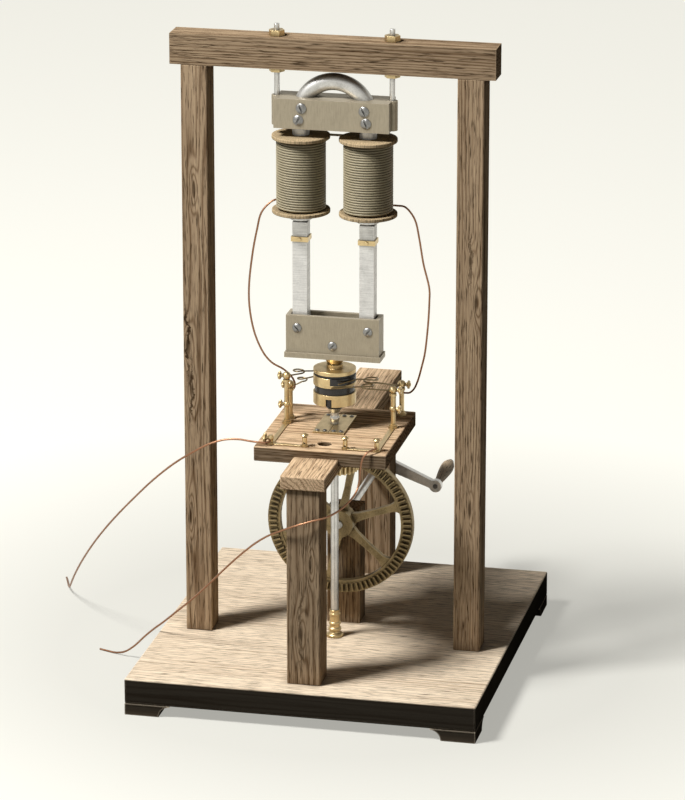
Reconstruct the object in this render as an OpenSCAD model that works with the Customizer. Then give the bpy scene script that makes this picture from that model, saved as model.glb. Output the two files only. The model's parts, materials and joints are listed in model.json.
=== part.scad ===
// Hand-cranked magneto-electric machine: a horseshoe magnet spun under a fixed electromagnet.
// Millimetres. X is to the right, Y to the rear, Z up; the floor is z = 0.

/* [Base] */
// Width of the base board
base_w = 356; // [345:1:380]
// Depth of the base board
base_d = 400; // [392:1:420]
// Thickness of the base board
board_t = 26; // [22:1:34]
// Height of the bracket feet
foot_h = 12; // [10:1:20]
// Length of each bracket foot on the floor
foot_len = 35; // [25:1:60]

/* [Gallows] */
// Height of the uprights above the base board
upright_h = 593; // [590:1:640]
// Width of an upright
upright_w = 27; // [22:1:32]
// Depth of an upright
upright_d = 28; // [22:1:32]
// Distance between the middles of the uprights
upright_span = 278; // [262:1:290]
// Length of the cross beam past each upright
beam_overhang = 11; // [4:1:20]
// Height of the cross beam
beam_h = 31; // [26:1:40]

/* [Bearer and table] */
// Height of the bearer posts above the base board
post_h = 204; // [203:1:212]
// Width of the bearer posts
post_w = 34; // [30:1:40]
// Thickness of the bearer plank
plank_t = 14; // [12:1:18]
// Width of the bearer plank
plank_w = 45; // [40:1:50]
// Width of the contact table
table_w = 134; // [130:1:150]
// Thickness of the contact table
table_t = 15; // [13:1:20]

/* [Electromagnet] */
// Distance between the middles of the poles
pole_span = 68; // [66:1:72]
// Diameter of the core bar
core_d = 17; // [14:0.5:19]
// Diameter of the bobbin flanges
flange_d = 58; // [56:0.5:60]
// Thickness of a bobbin flange
flange_t = 3.6; // [3:0.2:5]
// Height of the winding between the flanges
winding_h = 72; // [71:0.5:76]
// Diameter of the covered winding wire
winding_wire_d = 2.4; // [2:0.05:2.4]
// Turns drawn on each coil
turns = 24; // [16:1:24]

/* [Horseshoe magnet] */
// Width of the magnet bar seen from the front
bar_w = 15; // [12:0.5:16]
// Depth of the magnet bar
bar_d = 14; // [12:0.5:16]
// Air gap between the magnet and the poles
air_gap = 2; // [1:0.5:4]
// Wall of the magnet socket
socket_wall = 4; // [3:0.5:5]
// Height of the magnet socket
socket_h = 44; // [40:1:52]

/* [Commutator] */
// Radius of the commutator rings
ring_r = 21.5; // [20:0.25:22.5]
// Wall of the brass rings
ring_wall = 1.5; // [1:0.25:2.5]

/* [Drive] */
// Diameter of the spindle
spindle_d = 8; // [7:0.5:9]
// Diameter of the crank axle
axle_d = 8; // [7:0.5:10]
// Teeth of the crown wheel
wheel_teeth = 84; // [84:1:84]
// Teeth of the pinion
pinion_teeth = 28; // [28:1:28]
// Gear module
gear_module = 1.6667; // [1.65:0.0001:1.68]
// Face width of the gear teeth
face_w = 8; // [6:0.5:9]
// Throw of the crank
crank_r = 63; // [56:1:68]
// Length of the crank grip
grip_len = 72; // [60:1:78]

/* [Fits] */
// Radial clearance of the running bores
run_fit = 0.05; // [0.02:0.01:0.09]
// Clearance between parts that pass each other
pass_gap = 0.4; // [0.35:0.05:0.8]

/* [Hidden] */
$fn = 48;
eps = 0.01;
form_sides = 6;
cord_sides = 8;

// Levels from the floor up
base_z = foot_h + board_t;
beam_z = base_z + upright_h;
plank_z = base_z + post_h;
table_let = plank_t / 2;
table_z = plank_z + table_let + table_t;
beam_top = beam_z + beam_h;

// Places from front to rear
base_front = -235;
base_rear = base_front + base_d;
spindle_y = -71;
table_front = spindle_y - 84;
table_d = 145;
table_x = 3.5;
plank_front = base_front + 20;
plank_len = 365;
front_post_y = plank_front + 3;
post_d = 30;
rear_post_y = plank_front + plank_len - post_d - 3;
pedestal_y = spindle_y + 40;
pedestal_d = 26;
gallows_y = spindle_y - upright_d / 2;

// Joinery of the gallows
tenon_w = 13;
tenon_len = 16;
beam_len = upright_span + upright_w + 2 * beam_overhang;

// Electromagnet from the pole ends upwards
shoe_h = 7;
shoe_d = core_d + 5;
pole_x = pole_span / 2;
core_r = core_d / 2;
coil_top = beam_z - 4 - core_r - pole_x - 21;
coil_bottom = coil_top - winding_h - 2 * flange_t;
pole_z = coil_bottom - shoe_h;
bend_z = coil_top + 21;
wind_r = 23.6;
ring_sag = wind_r * (1 - cos(180 / 12));
barrel_r = wind_r - ring_sag - winding_wire_d / 2 - 0.1;
wind_pitch = (winding_h - winding_wire_d - 0.8) / turns;
wind_z0 = coil_bottom + flange_t + 0.4 + winding_wire_d / 2;
wind_tail = 20;

// Clamp and suspension
clamp_w = 116;
clamp_h = 30;
clamp_z = bend_z - 12;
plate_split = 0.6;
plate_d = core_r + 8;
rod_x = clamp_w / 2;
rod_r = 2.75;
end_block_r = 5.5;
nut_r = 8;
nut_h = 6;
// Clamp screws: place on the plate and turn of the slot
clamp_screw_pos = [[-33, 9, -62], [-30, 21, 65], [33, 21, 58], [35, 9, 66]];

// Horseshoe magnet and its socket
magnet_top = pole_z - air_gap;
magnet_out = pole_x + bar_w / 2;
magnet_in = pole_x - bar_w / 2;
socket_base_t = 5.5;
socket_z = table_z + 72;
magnet_z = socket_z + socket_base_t;
magnet_bend_z = magnet_z + magnet_out;
socket_w = 2 * (magnet_out + 2 + socket_wall);
socket_d = bar_d + 2 * socket_wall;
band_z = magnet_top - 20;
band_t = 1.2;
band_h = 5;
socket_screw_pos = [[-36, 31, 45], [36, 31, -45], [0, 14, -48]];

// Commutator levels above the table top
cup_z = table_z + 14;
neck_z = table_z + 19;
drum_z = table_z + 25;
drum_h = 12;
ring_z = table_z + 44.5;
ring_h = 10;
ring_strip_h = 3;
disc_z = table_z + 57;
disc_h = 4;
boss_h = 4;
collar_h = 7;
neck_r = 6.5;
groove_r = ring_r - ring_wall;
drum_slot_w = 6;

// Bearings of the spindle
plate_w = 32;
plate_len = 60;
plate_t = 2;
plate_screw_pos = [for (x = [-12, -4.5, 4.5, 12], y = [-25, 25]) [x, y]];
spindle_r = spindle_d / 2;
foot_top = base_z + 29;
foot_seat = base_z + 6;

// Gear sizes; the crown wheel stands behind the spindle and its teeth point forwards
wheel_r = gear_module * wheel_teeth / 2;
pinion_r = gear_module * pinion_teeth / 2;
tooth_pitch = PI * gear_module;
tooth_thick = 0.42 * tooth_pitch;
addendum = 0.78 * gear_module;
dedendum = addendum + pass_gap;
flank = tan(20);
axle_z = plank_z - 20 - wheel_r;
pinion_z = axle_z + wheel_r;
axle_r = axle_d / 2;
wheel_face_y = spindle_y + pinion_r + dedendum;
rim_t = 8;
rim_out = wheel_r + face_w / 2 + 1.5;
rim_in = wheel_r - face_w / 2 - 3;
hub_r = 14.5;
hub_front = wheel_face_y - 7;
hub_back = pedestal_y - 1.5;
bush_r = axle_r + 2.5;
arm_y = rear_post_y + post_d + 5.6;
arm_t = 7;
crank_angle = -22;
crank_x = crank_r * cos(crank_angle);
crank_z = axle_z + crank_r * sin(crank_angle);
pin_r = 2.4;
grip_y = arm_y + arm_t + 0.6;

// Brush posts: side, place behind the spindle, head height, spring level, radius of the spring's
// curl, its distance from the post, and the spring's length past the ring
BRUSHES = [
    [-48.5, -4, 50, 51.5, 5.6, 15, 9],
    [-48.5, 12, 36, 46.5, 4.8, 12, 9],
    [59, 4, 40, 46, 6.2, 25, 9],
    [59, 46, 33, 51.5, 7.2, 36, 16]
];
post_flange_r = 4.8;
post_flange_h = 2.2;
shaft_r = 2.5;
head_r = 4.2;
lower_boss_r = 3.6;
lower_screw_h = 20;
screw_r = 1.4;
screw_disc_r = 4.3;
spring_d = 1.5;
curl_rise = 2.6;

// Terminals along the front of the table
terminal_y = table_front + 11;
terminal_x = [-48.5, -14, 27, 59];
terminal_r = 2.4;
terminal_flange_r = 3.8;
terminal_h = 10;
tall_terminal_h = 9.6;
tall_screw_h = 6.6;
tall_disc_r = 4.9;
wire_bore_r = 1.2;
wire_bore_h = 4.2;
strip_w = 5;
strip_t = 1.2;
wire_hole_r = 7;

// Free wires, as places along their middle line
wire_d = 2;
COIL_LEFT = [
    [-pole_x - wind_tail, spindle_y + wind_r, wind_z0],
    [-58, spindle_y + wind_r, wind_z0],
    [-68, -51, 488], [-78, -56, 477], [-82, -59, 460], [-86, -62, 436], [-89, -65, 405],
    [-88.5, -66, 380], [-84, -65.5, 355], [-76, -64.5, 335], [-67, -62.5, 323], [-56, -59.5, 316],
    [-49, -55, 308], [-46, -51, 300], [-46.5, -49, 294], [-48.5, -50, 291.5], [-48.5, -53, 291],
    [-48.5, -59 + shaft_r, 291]
];
COIL_RIGHT = [
    [pole_x + wind_tail, spindle_y + wind_r, wind_z0],
    [58, spindle_y + wind_r, wind_z0],
    [68, -51, 489], [78, -55, 478], [83, -58, 460], [88, -61, 435], [94, -62, 412],
    [94, -60, 396], [92, -56, 371], [88, -50, 341], [83, -43, 322], [78, -36, 306],
    [73, -30, 295], [68, -26.5, 289.3], [64, -25, 288],
    [59 + shaft_r, -25, 288]
];
LEAD_LEFT = [
    [-48.5, terminal_y - terminal_r, table_z + wire_bore_h], [-48.9, -149.6, table_z + wire_bore_h],
    [-52, -152.2, 268], [-58, -153, 268], [-68, -152.5, 268.5], [-80, -151.5, 269.2], [-94, -151, 267.6],
    [-110, -151.5, 262], [-127, -151, 252], [-145, -146, 239],
    [-162, -138, 224], [-180, -126, 206], [-200, -110, 184], [-221, -90, 160], [-243, -66, 133],
    [-264, -38, 105], [-284, -6, 76], [-302, 28, 48], [-316, 60, 25], [-326, 86, 9],
    [-333, 106, 2], [-338, 120, 1.2], [-343, 133, 1.2]
];
LEAD_RIGHT = [
    [59, terminal_y - terminal_r, table_z + wire_bore_h], [58.5, -150, 268.4],
    [55.5, -155, 268.2], [51.5, -158.5, 266], [48, -161, 260], [46.5, -163, 251], [46, -165.5, 240],
    [44.5, -171, 230.5], [40, -182, 223.5], [33, -197, 218.5], [23.5, -211, 215.5],
    [9, -217, 212], [-6, -219, 207], [-21, -216, 200], [-36, -209, 191], [-52, -198, 178],
    [-70, -183, 160], [-90, -165, 138], [-112, -148, 113], [-134, -132, 89], [-154, -118, 69],
    [-170, -107, 53], [-183, -99, 41], [-195, -92, 29], [-207, -86, 16], [-219, -80, 6],
    [-230, -75, 1.8], [-240, -71, 1.2], [-250, -67, 1.2]
];

// Vector helpers
function unit(v) = v / norm(v);
function span(p, i) = p[min(i + 1, len(p) - 1)] - p[max(i - 1, 0)];
function seed_side(t) = unit(cross(t, abs(t.z) < 0.8 ? [0, 0, 1] : [1, 0, 0]));
function carried(s, t) = unit(s - t * (s * t));

// Sideways direction at each place of a route, carried along without twist
function sides_of(p) =
    let (last = len(p) - 1)
    [for (i = 0, s = seed_side(unit(span(p, 0)));
          i <= last;
          i = i + 1, s = carried(s, unit(span(p, min(i, last))))) s];

// Least distance between a tube's surfaces where it passes itself
function least_gap(p, d, skip) =
    min([for (i = [0 : len(p) - 1]) for (j = [i + skip : 1 : len(p) - 1]) norm(p[i] - p[j])]) - d;

// One unbroken tube along a route
module tube(p, d, sides) {
    s = sides_of(p);
    rings = len(p);
    places = [for (i = [0 : rings - 1])
        let (t = unit(span(p, i)), b = cross(t, s[i]))
        for (k = [0 : sides - 1])
            let (a = 360 * k / sides) p[i] + d / 2 * (cos(a) * s[i] + sin(a) * b)];
    first = [for (k = [sides - 1 : -1 : 0]) k];
    last = [for (k = [0 : sides - 1]) (rings - 1) * sides + k];
    skin = [for (i = [0 : rings - 2]) for (k = [0 : sides - 1])
        let (a = i * sides + k, b = i * sides + (k + 1) % sides)
        each [[a, b, b + sides], [a, b + sides, a + sides]]];
    polyhedron(points = places, faces = [for (f = concat([first, last], skin)) [for (k = [len(f) - 1 : -1 : 0]) f[k]]]);
}

// Box from its middle in X, its front in Y and its underside
module block(w, front, d, z, h, x = 0) {
    translate([x - w / 2, front, z]) cube([w, d, h]);
}

// Upright cylinder
module rod(x, y, z, h, r) {
    translate([x, y, z]) cylinder(h = h, r = r);
}

// Cylinder pointing to the rear from a place
module rear_rod(x, y, z, len, r) {
    translate([x, y, z]) rotate([-90, 0, 0]) cylinder(h = len, r = r);
}

// Slotted round-head screw facing the front, with its seat at the origin
module slotted_screw(r, h, shank_r, shank, tilt) {
    rotate([90, tilt, 0])
        difference() {
            union() {
                intersection() {
                    translate([0, 0, h - r * 1.6]) sphere(r = r * 1.6);
                    cylinder(h = h, r = r);
                }
                translate([0, 0, -shank]) cylinder(h = shank + eps, r = shank_r);
            }
            translate([-r - 1, -0.17 * r, h * 0.4]) cube([2 * r + 2, 0.34 * r, h]);
        }
}

// Thumbscrew pointing to the right, with its shank end at the origin
module thumbscrew(shank, disc_r) {
    rotate([0, 90, 0])
        rotate_extrude()
            polygon([
                [0, 0], [screw_r, 0], [screw_r, shank], [2.2, shank], [2.2, shank + 1.4],
                [disc_r - 0.6, shank + 1.4], [disc_r, shank + 2], [disc_r, shank + 3.2],
                [disc_r - 0.6, shank + 3.8], [1.8, shank + 3.8], [1.3, shank + 4.8], [0, shank + 5.1]
            ]);
}

// Mushroom-headed screw pointing up, with its shank end at the origin
module mushroom_screw(shank) {
    rotate_extrude()
        union() {
            square([screw_r, shank + 3]);
            translate([0, shank]) square([2, 1.5]);
            translate([0, shank + 1.3])
                intersection() {
                    translate([0, -2.4]) circle(r = 4.7);
                    square([3.9, 6]);
                }
        }
}

// Base
module foot_outline() {
    curve = foot_h - 1;
    difference() {
        square([foot_len + curve, foot_h]);
        translate([foot_len + curve, 0]) circle(r = curve);
    }
}

module foot_side() {
    reach = foot_len + foot_h - 1;
    translate([0, reach, 0]) rotate([90, 0, 0]) linear_extrude(reach) foot_outline();
}

module base_board() {
    color("saddlebrown")
        difference() {
            block(base_w, base_front, base_d, foot_h, board_t);
            for (x = [-1, 1])
                block(tenon_w, spindle_y - tenon_w / 2, tenon_w, base_z - tenon_len, tenon_len + 1,
                      x * upright_span / 2);
        }
}

module base_feet() {
    color("sienna")
        translate([0, base_front + base_d / 2, 0])
            for (sx = [0, 1], sy = [0, 1])
                mirror([sx, 0, 0]) mirror([0, sy, 0])
                    translate([-base_w / 2, -base_d / 2, 0])
                        intersection() {
                            foot_side();
                            mirror([1, -1, 0]) foot_side();
                        }
}

// Gallows
module upright(side) {
    x = side * upright_span / 2;
    block(upright_w, gallows_y, upright_d, base_z, upright_h, x);
    block(tenon_w, spindle_y - tenon_w / 2, tenon_w, base_z - tenon_len, upright_h + 2 * tenon_len, x);
}

module left_upright() { color("peru") upright(-1); }

module right_upright() { color("peru") upright(1); }

module cross_beam() {
    color("peru")
        difference() {
            block(beam_len, gallows_y, upright_d, beam_z, beam_h);
            for (s = [-1, 1]) {
                block(tenon_w, spindle_y - tenon_w / 2, tenon_w, beam_z - 1, tenon_len + 1,
                      s * upright_span / 2);
                rod(s * rod_x, spindle_y, beam_z - 1, beam_h + 2, rod_r + pass_gap / 2);
            }
        }
}

// Bearer and table
module bearer_plank() {
    color("peru")
        difference() {
            block(plank_w, plank_front, plank_len, plank_z, plank_t);
            rod(0, spindle_y, plank_z - 1, plank_t + 2, spindle_r + 2);
        }
}

module front_post() {
    color("peru") block(post_w, front_post_y, post_d, base_z, post_h);
}

module rear_post() {
    color("peru")
        difference() {
            block(post_w, rear_post_y, post_d, base_z, post_h);
            rear_rod(0, rear_post_y - 1, axle_z, post_d + 2, bush_r);
        }
}

module axle_pedestal() {
    color("peru")
        difference() {
            block(post_w, pedestal_y, pedestal_d, base_z, axle_z + bush_r + 4 - base_z);
            rear_rod(0, pedestal_y - 1, axle_z, pedestal_d + 2, bush_r);
        }
}

module contact_table() {
    color("burlywood")
        difference() {
            block(table_w, table_front, table_d, table_z - table_t, table_t, table_x);
            block(plank_w, table_front - 1, table_d + 2, table_z - table_t - 1, table_let + 1);
            rod(0, spindle_y, table_z - table_t, table_t + 1, spindle_r + 2);
            rod(table_x, table_front + 24, table_z - table_t, table_t + 1, wire_hole_r);
        }
}

// Suspension and clamp
module suspension_rods() {
    color("darkgray")
        for (s = [-1, 1])
            rod(s * rod_x, spindle_y, clamp_z + 4, beam_top + 12 - clamp_z - 4, rod_r);
}

module suspension_nuts() {
    color("gold")
        for (s = [-1, 1])
            difference() {
                union() {
                    translate([s * rod_x, spindle_y, beam_top]) cylinder(h = nut_h, r = nut_r, $fn = 6);
                    translate([s * rod_x, spindle_y, beam_z - nut_h + 1])
                        cylinder(h = nut_h - 1, r = nut_r, $fn = 6);
                }
                rod(s * rod_x, spindle_y, beam_z - 20, beam_h + 60, rod_r);
            }
}

module clamp_plates() {
    color("gold")
        difference() {
            for (s = [0, 1])
                translate([0, spindle_y, 0]) mirror([0, s, 0])
                    block(clamp_w, -plate_d, plate_d - plate_split, clamp_z, clamp_h);
            core_bar();
            for (s = [-1, 1])
                rod(s * rod_x, spindle_y, clamp_z - 1, clamp_h + 2, end_block_r);
            for (p = clamp_screw_pos)
                rear_rod(p.x, spindle_y - plate_d - 1, clamp_z + p.y, 6, 2);
        }
}

module clamp_end_blocks() {
    color("goldenrod")
        for (s = [-1, 1])
            difference() {
                rod(s * rod_x, spindle_y, clamp_z, clamp_h, end_block_r);
                rod(s * rod_x, spindle_y, clamp_z + 4, clamp_h, rod_r);
            }
}

module clamp_screws() {
    color("khaki")
        for (p = clamp_screw_pos)
            translate([p.x, spindle_y - plate_d, clamp_z + p.y])
                slotted_screw(5.25, 2.4, 2, 5, p.z);
}

// Electromagnet
module core_bar() {
    for (s = [-1, 1])
        rod(s * pole_x, spindle_y, pole_z + shoe_h, bend_z - pole_z - shoe_h, core_r);
    translate([0, spindle_y, bend_z])
        rotate([90, 0, 0])
            rotate_extrude(angle = 180) translate([pole_x, 0]) circle(r = core_r);
}

module electromagnet_core() { color("dimgray") core_bar(); }

module pole_shoes() {
    color("slategray")
        for (s = [-1, 1])
            rod(s * pole_x, spindle_y, pole_z, shoe_h, shoe_d / 2);
}

module bobbin(x) {
    difference() {
        union() {
            rod(x, spindle_y, coil_bottom, flange_t, flange_d / 2);
            rod(x, spindle_y, coil_top - flange_t, flange_t, flange_d / 2);
            rod(x, spindle_y, coil_bottom, coil_top - coil_bottom, barrel_r);
        }
        rod(x, spindle_y, coil_bottom - 1, coil_top - coil_bottom + 2, core_r);
    }
}

module left_bobbin() { color("tan") bobbin(-pole_x); }

module right_bobbin() { color("tan") bobbin(pole_x); }

// Left coil's wire: in from the outside at the bottom, up and out to the middle at the top
wind_route = concat(
    [[-pole_x - wind_tail, spindle_y + wind_r, wind_z0]],
    [for (i = [0 : turns * 12])
        [-pole_x + wind_r * cos(90 - 30 * i), spindle_y + wind_r * sin(90 - 30 * i),
         wind_z0 + wind_pitch * i / 12]],
    [[0, spindle_y + wind_r, wind_z0 + wind_pitch * turns]]
);
echo(winding_least_gap = least_gap(wind_route, winding_wire_d, 6));

module left_winding() { color("darkolivegreen") tube(wind_route, winding_wire_d, form_sides); }

module right_winding() {
    color("darkolivegreen") mirror([1, 0, 0]) tube(wind_route, winding_wire_d, form_sides);
}

// Spindle bearings
module bearing_plates() {
    color("goldenrod")
        difference() {
            for (s = [0, 1])
                mirror([s, 0, 0])
                    translate([plate_split / 2, spindle_y - plate_len / 2, table_z])
                        cube([(plate_w - plate_split) / 2, plate_len, plate_t]);
            rod(0, spindle_y, table_z - 1, plate_t + 2, spindle_r + run_fit);
            for (p = plate_screw_pos)
                rod(p.x, spindle_y + p.y, table_z - 1, plate_t + 2, 1.2);
        }
}

module bearing_plate_screws() {
    color("khaki")
        for (p = plate_screw_pos)
            translate([p.x, spindle_y + p.y, table_z + plate_t])
                rotate([-90, 0, 0]) slotted_screw(2.1, 1.3, 1.2, plate_t, 10 * p.x);
}

module footstep_bearing() {
    color("goldenrod")
        translate([0, spindle_y, base_z])
            rotate_extrude()
                polygon([
                    [0, 0], [8.7, 0], [8.7, 2.4], [7.6, 3.6], [5.6, 4.4], [5.3, 6.4], [6.5, 7.2],
                    [6.9, 8.4], [6.5, 9.6], [5.3, 10.4], [5.3, 13], [6.1, 13.6], [6.3, 14.6],
                    [6.1, 15.6], [5.3, 16.2], [5.3, 22.4], [5.9, 23], [5.9, 25.2], [5.3, 25.8],
                    [5.3, foot_top - base_z], [spindle_r + run_fit, foot_top - base_z],
                    [spindle_r + run_fit, foot_seat - base_z], [0, foot_seat - base_z]
                ]);
}

module axle_bushes() {
    color("gold")
        difference() {
            union() {
                rear_rod(0, pedestal_y, axle_z, pedestal_d, bush_r);
                rear_rod(0, rear_post_y, axle_z, post_d, bush_r);
            }
            rear_rod(0, pedestal_y - 1, axle_z, rear_post_y + post_d - pedestal_y + 2, axle_r + run_fit);
        }
}

// Brush posts, their thumbscrews and springs
module brush_post(b) {
    side = sign(b[0]);
    front = b[1] < 10;
    translate([b[0], spindle_y + b[1], table_z])
        difference() {
            union() {
                rod(0, 0, 0, post_flange_h, post_flange_r);
                rod(0, 0, 0, b[2], shaft_r);
                rod(0, 0, post_flange_h, 2, shaft_r + 1.2);
                translate([0, 0, b[2]]) sphere(r = head_r);
                rod(0, 0, b[2] - head_r - 2, 2.4, shaft_r + 1);
                if (front) translate([0, 0, lower_screw_h]) sphere(r = lower_boss_r);
            }
            screw_bore(side, b[2]);
            if (front) screw_bore(side, lower_screw_h);
        }
}

// Bore for a thumbscrew, from just past the post's middle line to the outside
module screw_bore(side, z) {
    translate([side * 0.6, 0, z])
        rotate([0, side * 90, 0]) cylinder(h = 12, r = screw_r + run_fit);
}

// Thumbscrew in a post at a place and height, with its disc clear of the boss
module post_screw(x, y, z, boss_r, disc_r) {
    translate([x, y, z])
        mirror([x < 0 ? 1 : 0, 0, 0])
            translate([1, 0, 0]) thumbscrew(boss_r - 1 + pass_gap, disc_r);
}

module brush_screw(i, lower = false) {
    b = BRUSHES[i];
    post_screw(b[0], spindle_y + b[1], table_z + (lower ? lower_screw_h : b[2]),
               lower ? lower_boss_r : head_r, screw_disc_r);
}

module brush_posts() { color("goldenrod") for (b = BRUSHES) brush_post(b); }

module brush_screw_1() { color("gold") brush_screw(0); }

module brush_screw_2() { color("gold") brush_screw(1); }

module brush_screw_3() { color("gold") brush_screw(2); }

module brush_screw_4() { color("gold") brush_screw(3); }

module brush_screw_5() { color("gold") brush_screw(0, true); }

module brush_screw_6() { color("gold") brush_screw(2, true); }

// Spring wire: out of the head, once round a level curl on its rear side, then past the ring
function lift(p, z) = [p.x, spindle_y + p.y, table_z + z];
function spring_route(b) =
    let (
        post = [b[0], b[1]],
        touch_r = ring_r + spring_d / 2 + pass_gap,
        a = atan2(post.y, post.x) - acos(touch_r / norm(post)),
        near = touch_r * [cos(a), sin(a)],
        u = unit(near - post),
        rear = sign(u.x) * [-u.y, u.x],
        curl_z = b[2] + (b[3] - b[2]) * b[5] / norm(near - post),
        curl = post + u * b[5] + rear * b[4]
    )
    concat(
        [lift(post + u * head_r, b[2]), lift(post + u * (head_r + 2), b[2])],
        [for (k = [0 : 12])
            lift(curl + b[4] * (sin(30 * k) * u - cos(30 * k) * rear), curl_z + curl_rise * k / 12)],
        [lift(near - u * 10, b[3]), lift(near, b[3]), lift(near + u * b[6], b[3])]
    );
echo(spring_least_gap = min([for (b = BRUSHES) least_gap(spring_route(b), spring_d, 5)]));

module left_brush_springs() {
    color("darkgoldenrod")
        for (b = BRUSHES)
            if (b[0] < 0) tube(spring_route(b), spring_d, form_sides);
}

module right_brush_springs() {
    color("darkgoldenrod")
        for (b = BRUSHES)
            if (b[0] > 0) tube(spring_route(b), spring_d, form_sides);
}

// Terminals
module terminal_posts() {
    color("goldenrod")
        for (i = [0 : 3])
            translate([terminal_x[i], terminal_y, table_z])
                difference() {
                    union() {
                        rod(0, 0, 0, 2, terminal_flange_r);
                        rod(0, 0, 0, i == 0 ? tall_terminal_h : terminal_h, terminal_r);
                        if (i == 0) translate([0, 0, tall_screw_h]) sphere(r = terminal_r + 0.6);
                    }
                    if (i == 0) screw_bore(-1, tall_screw_h);
                    if (i > 0) rod(0, 0, terminal_h - 3.5, 10, screw_r + run_fit);
                    if (i == 1 || i == 2)
                        rear_rod(0, -terminal_r - 1, wire_bore_h, 2 * terminal_r + 2, wire_bore_r);
                }
}

module top_screw(i) {
    translate([terminal_x[i], terminal_y, table_z + terminal_h - 3.1]) mushroom_screw(3.1 + pass_gap);
}

module terminal_screw_1() {
    color("gold")
        post_screw(terminal_x[0], terminal_y, table_z + tall_screw_h, terminal_r + 0.6, tall_disc_r);
}

module terminal_screw_2() { color("gold") top_screw(1); }

module terminal_screw_3() { color("gold") top_screw(2); }

module terminal_screw_4() { color("gold") top_screw(3); }

module contact_strips() {
    color("darkgoldenrod")
        difference() {
            for (s = [0, 3]) {
                block(strip_w, terminal_y, spindle_y - terminal_y, table_z, strip_t, terminal_x[s]);
                x0 = terminal_x[min(s, 2)];
                x1 = terminal_x[max(s, 1)];
                translate([x0, terminal_y - strip_w / 2, table_z]) cube([x1 - x0, strip_w, strip_t]);
            }
            for (b = BRUSHES) rod(b[0], spindle_y + b[1], table_z - 1, 4, post_flange_r);
            for (x = terminal_x) rod(x, terminal_y, table_z - 1, 4, terminal_flange_r);
        }
}

// Free wires
module coil_wire_left() { color("darkorange") tube(COIL_LEFT, wire_d, cord_sides); }

module coil_wire_right() { color("darkorange") tube(COIL_RIGHT, wire_d, cord_sides); }

module lead_left() { color("darkorange") tube(LEAD_LEFT, wire_d, cord_sides); }

module lead_right() { color("darkorange") tube(LEAD_RIGHT, wire_d, cord_sides); }

// Crank: wheel outlines are drawn flat and stood up to face the front
module facing_front(y) {
    translate([0, y, axle_z]) rotate([90, 0, 0]) children();
}

module axle() {
    color("silver")
        rear_rod(0, hub_front - 2, axle_z, arm_y + arm_t + 2 - hub_front + 2, axle_r);
}

module spoke_outline() {
    for (i = [0 : 5])
        rotate(79 + 60 * i)
            polygon([
                [hub_r - 3, -6], [hub_r + 6, -4], [38, -3.2], [rim_in - 8, -3.6], [rim_in - 3, -5],
                [rim_in + 1, -8.5], [rim_in + 1, 8.5], [rim_in - 3, 5], [rim_in - 8, 3.6], [38, 3.2],
                [hub_r + 6, 4], [hub_r - 3, 6]
            ]);
}

module crown_tooth() {
    tip_w = tooth_thick - 2 * flank * addendum;
    root_w = tooth_thick + 2 * flank * dedendum;
    translate([wheel_r - face_w / 2, 0, 0])
        rotate([90, 0, 90])
            linear_extrude(face_w)
                polygon([
                    [-root_w / 2, -0.2], [root_w / 2, -0.2], [root_w / 2, 0],
                    [tip_w / 2, dedendum + addendum], [-tip_w / 2, dedendum + addendum], [-root_w / 2, 0]
                ]);
}

module crown_wheel() {
    color("goldenrod")
        facing_front(wheel_face_y)
            difference() {
                union() {
                    translate([0, 0, -rim_t])
                        linear_extrude(rim_t)
                            difference() {
                                circle(r = rim_out, $fn = 120);
                                circle(r = rim_in, $fn = 120);
                            }
                    translate([0, 0, 1 - rim_t]) linear_extrude(rim_t - 2) spoke_outline();
                    translate([0, 0, wheel_face_y - hub_back])
                        cylinder(h = hub_back - hub_front, r = hub_r);
                    for (i = [0 : wheel_teeth - 1])
                        rotate(90 + (i + 0.5) * 360 / wheel_teeth) crown_tooth();
                }
                translate([0, 0, -60]) cylinder(h = 120, r = axle_r);
            }
}

module crank_arm() {
    color("darkgray")
        facing_front(arm_y + arm_t)
            linear_extrude(arm_t)
                difference() {
                    union() {
                        circle(r = axle_r + 5);
                        rotate(crank_angle) {
                            polygon([[0, -6.5], [crank_r, -4.2], [crank_r, 4.2], [0, 6.5]]);
                            translate([crank_r, 0]) circle(r = pin_r + 4.3);
                        }
                    }
                    circle(r = axle_r);
                    translate([crank_x, crank_z - axle_z]) circle(r = pin_r);
                }
}

module crank_pin() {
    color("silver") {
        rear_rod(crank_x, arm_y - 1, crank_z, 1 + arm_t + 0.6 + grip_len + pass_gap + 2, pin_r);
        rear_rod(crank_x, grip_y + grip_len + pass_gap, crank_z, 2.4, pin_r + 1.3);
    }
}

module crank_grip() {
    color("maroon")
        translate([crank_x, grip_y, crank_z])
            rotate([-90, 0, 0])
                rotate_extrude()
                    polygon(concat(
                        [[pin_r + run_fit, 0]],
                        [for (q = [[4.9, 0], [5.4, 0.02], [5.4, 0.05], [4.2, 0.07], [4.1, 0.14], [4.6, 0.25],
                                   [5.4, 0.38], [6.2, 0.52], [6.8, 0.66], [7, 0.77], [6.6, 0.86],
                                   [5.6, 0.93], [4.6, 0.98], [4, 1]]) [q[0], q[1] * grip_len]],
                        [[pin_r + run_fit, grip_len]]
                    ));
}

// Spindle and what turns with it
module spindle() {
    bead_r = 5;
    color("silver") {
        rod(0, spindle_y, foot_seat + pass_gap, socket_z + socket_base_t - foot_seat - pass_gap, spindle_r);
        translate([0, spindle_y, table_z + plate_t + pass_gap + bead_r]) sphere(r = bead_r);
        translate([0, spindle_y, cup_z]) cylinder(h = neck_z - cup_z, r1 = spindle_r + 0.6, r2 = spindle_r + 4);
    }
}

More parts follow.
